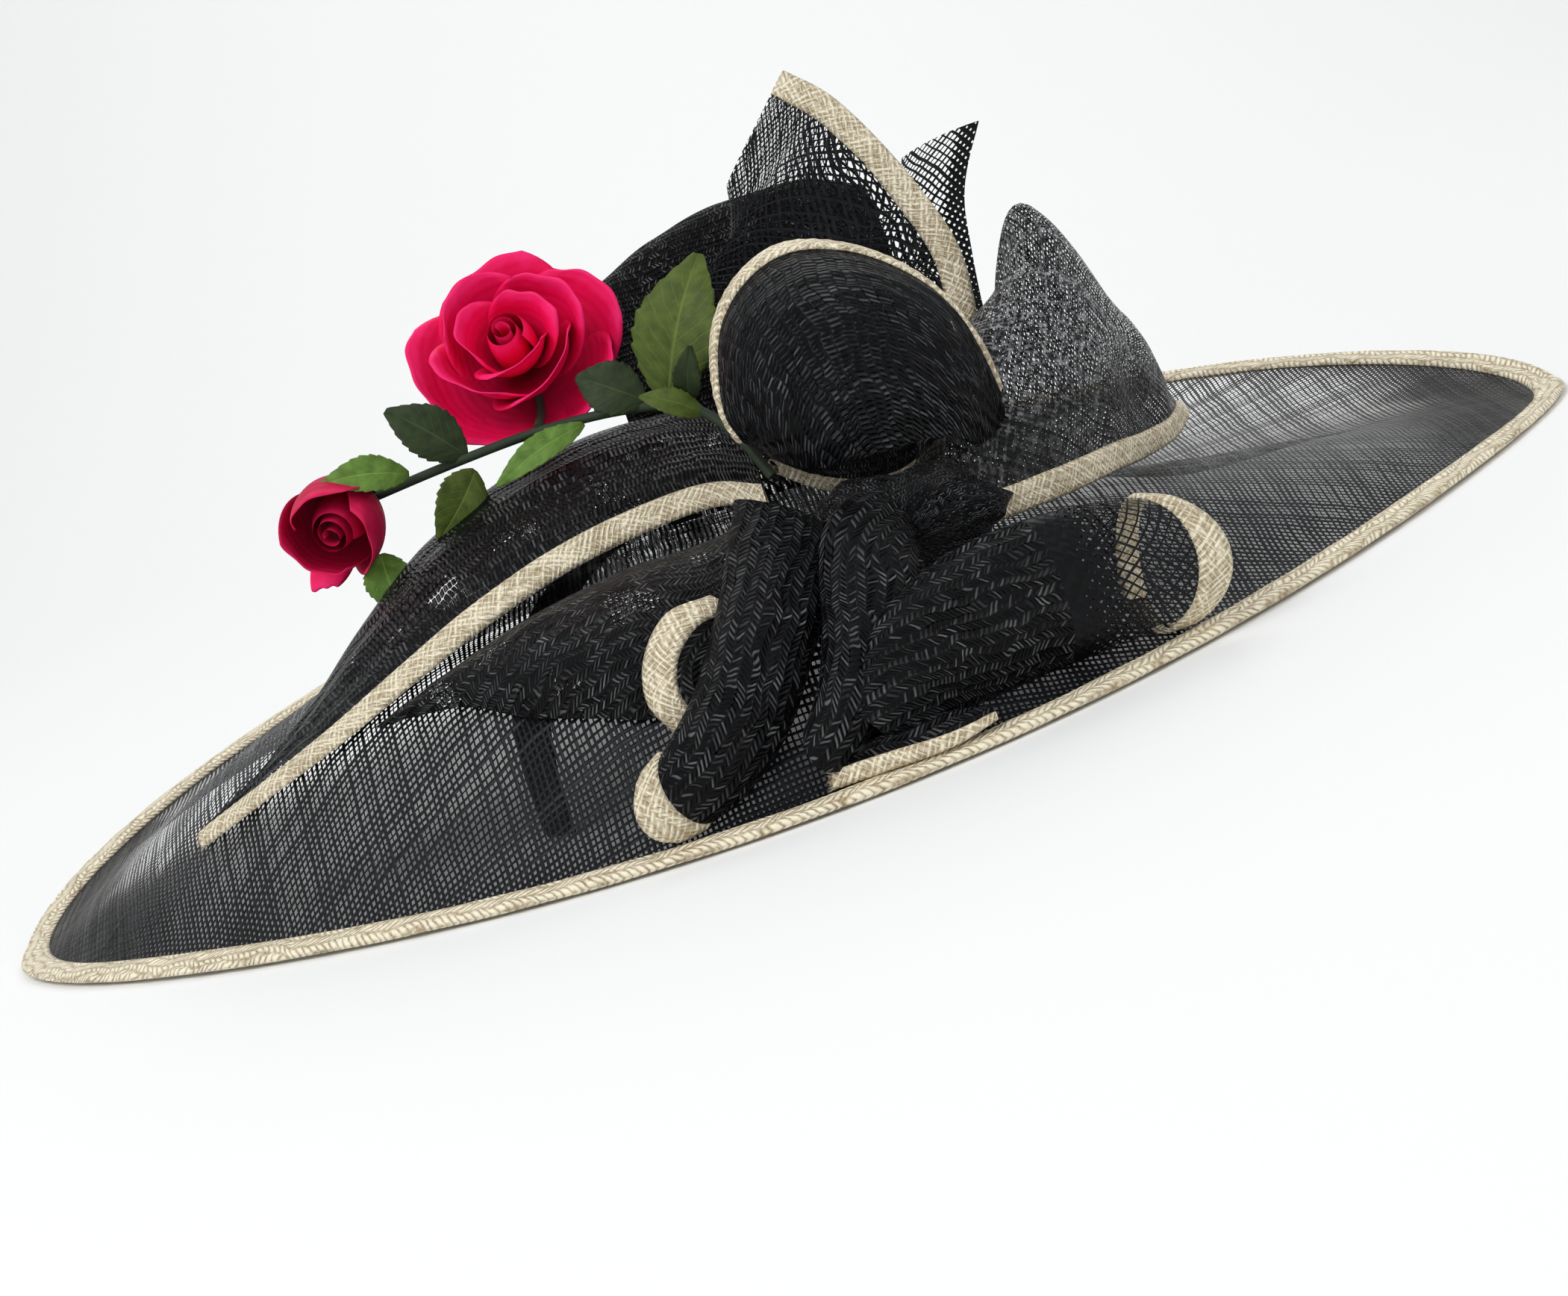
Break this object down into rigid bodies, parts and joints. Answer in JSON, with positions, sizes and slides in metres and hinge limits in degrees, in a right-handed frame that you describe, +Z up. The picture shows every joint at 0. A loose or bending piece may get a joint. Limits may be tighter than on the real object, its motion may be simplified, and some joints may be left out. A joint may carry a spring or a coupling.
{
  "type": "wide-brim straw hat",
  "caption": "Wide oval straw sinamay hat with cream-bound brim, bias-bound swirls and loops and a spray of fabric roses.",
  "frame": {"origin": "centre of the hat's outline, on the surface that the rim rests on", "axes": "+X along the brim's long axis to its right tip, +Y away from the trimmed side, +Z up"},
  "size_m": [0.5426, 0.4088, 0.1844],
  "materials": {
    "black_sinamay": "stiffened open straw weave",
    "cream_binding": "plain woven bias strip",
    "headband_fabric": "matt ribbon",
    "rose_petal": "soft fabric petal",
    "bud_petal": "soft fabric petal",
    "leaf_fabric": "veined fabric leaf",
    "stem_wrap": "wrapped wire stem"
  },
  "bodies": {
    "root": {"brim": "black_sinamay", "brim_binding": "cream_binding", "crown": "black_sinamay", "headband": "headband_fabric", "hood_loop": "black_sinamay", "hood_loop_binding": "cream_binding", "knot": "black_sinamay", "roll_left": "black_sinamay", "roll_left_binding": "cream_binding", "fold_middle": "black_sinamay", "trumpet_right": "black_sinamay", "trumpet_right_binding": "cream_binding", "hood_inner": "black_sinamay", "hood_inner_binding": "cream_binding", "tail_front": "black_sinamay", "tail_front_binding": "cream_binding", "curl_left": "black_sinamay", "curl_left_binding": "cream_binding", "swag_leaf": "black_sinamay", "swag_leaf_binding": "cream_binding", "swag_roll": "black_sinamay", "tall_loop": "black_sinamay", "tall_loop_binding": "cream_binding", "right_loop": "black_sinamay", "right_loop_binding": "cream_binding", "back_arch": "black_sinamay", "fin": "black_sinamay", "stem": "stem_wrap", "rose_heart": "rose_petal", "bud_heart": "bud_petal", "rose_inner_petal_1": "rose_petal", "rose_inner_petal_2": "rose_petal", "rose_inner_petal_3": "rose_petal", "rose_middle_petal_1": "rose_petal", "rose_middle_petal_2": "rose_petal", "rose_middle_petal_3": "rose_petal", "rose_middle_petal_4": "rose_petal", "rose_outer_petal_1": "rose_petal", "rose_outer_petal_2": "rose_petal", "rose_outer_petal_3": "rose_petal", "rose_outer_petal_4": "rose_petal", "rose_outer_petal_5": "rose_petal", "bud_petal_1": "bud_petal", "bud_petal_2": "bud_petal", "bud_petal_3": "bud_petal", "bud_fallen_petal_1": "bud_petal", "rose_stalk": "stem_wrap", "leaf_olive": "leaf_fabric", "leaf_dark_right": "leaf_fabric", "leaf_small_lower": "leaf_fabric", "leaf_small_upper": "leaf_fabric", "leaf_rose_left": "leaf_fabric", "leaf_pointing": "leaf_fabric", "leaf_hanging": "leaf_fabric", "leaf_under_rose": "leaf_fabric", "leaf_under_bud": "leaf_fabric"}
  },
  "joints": []
}
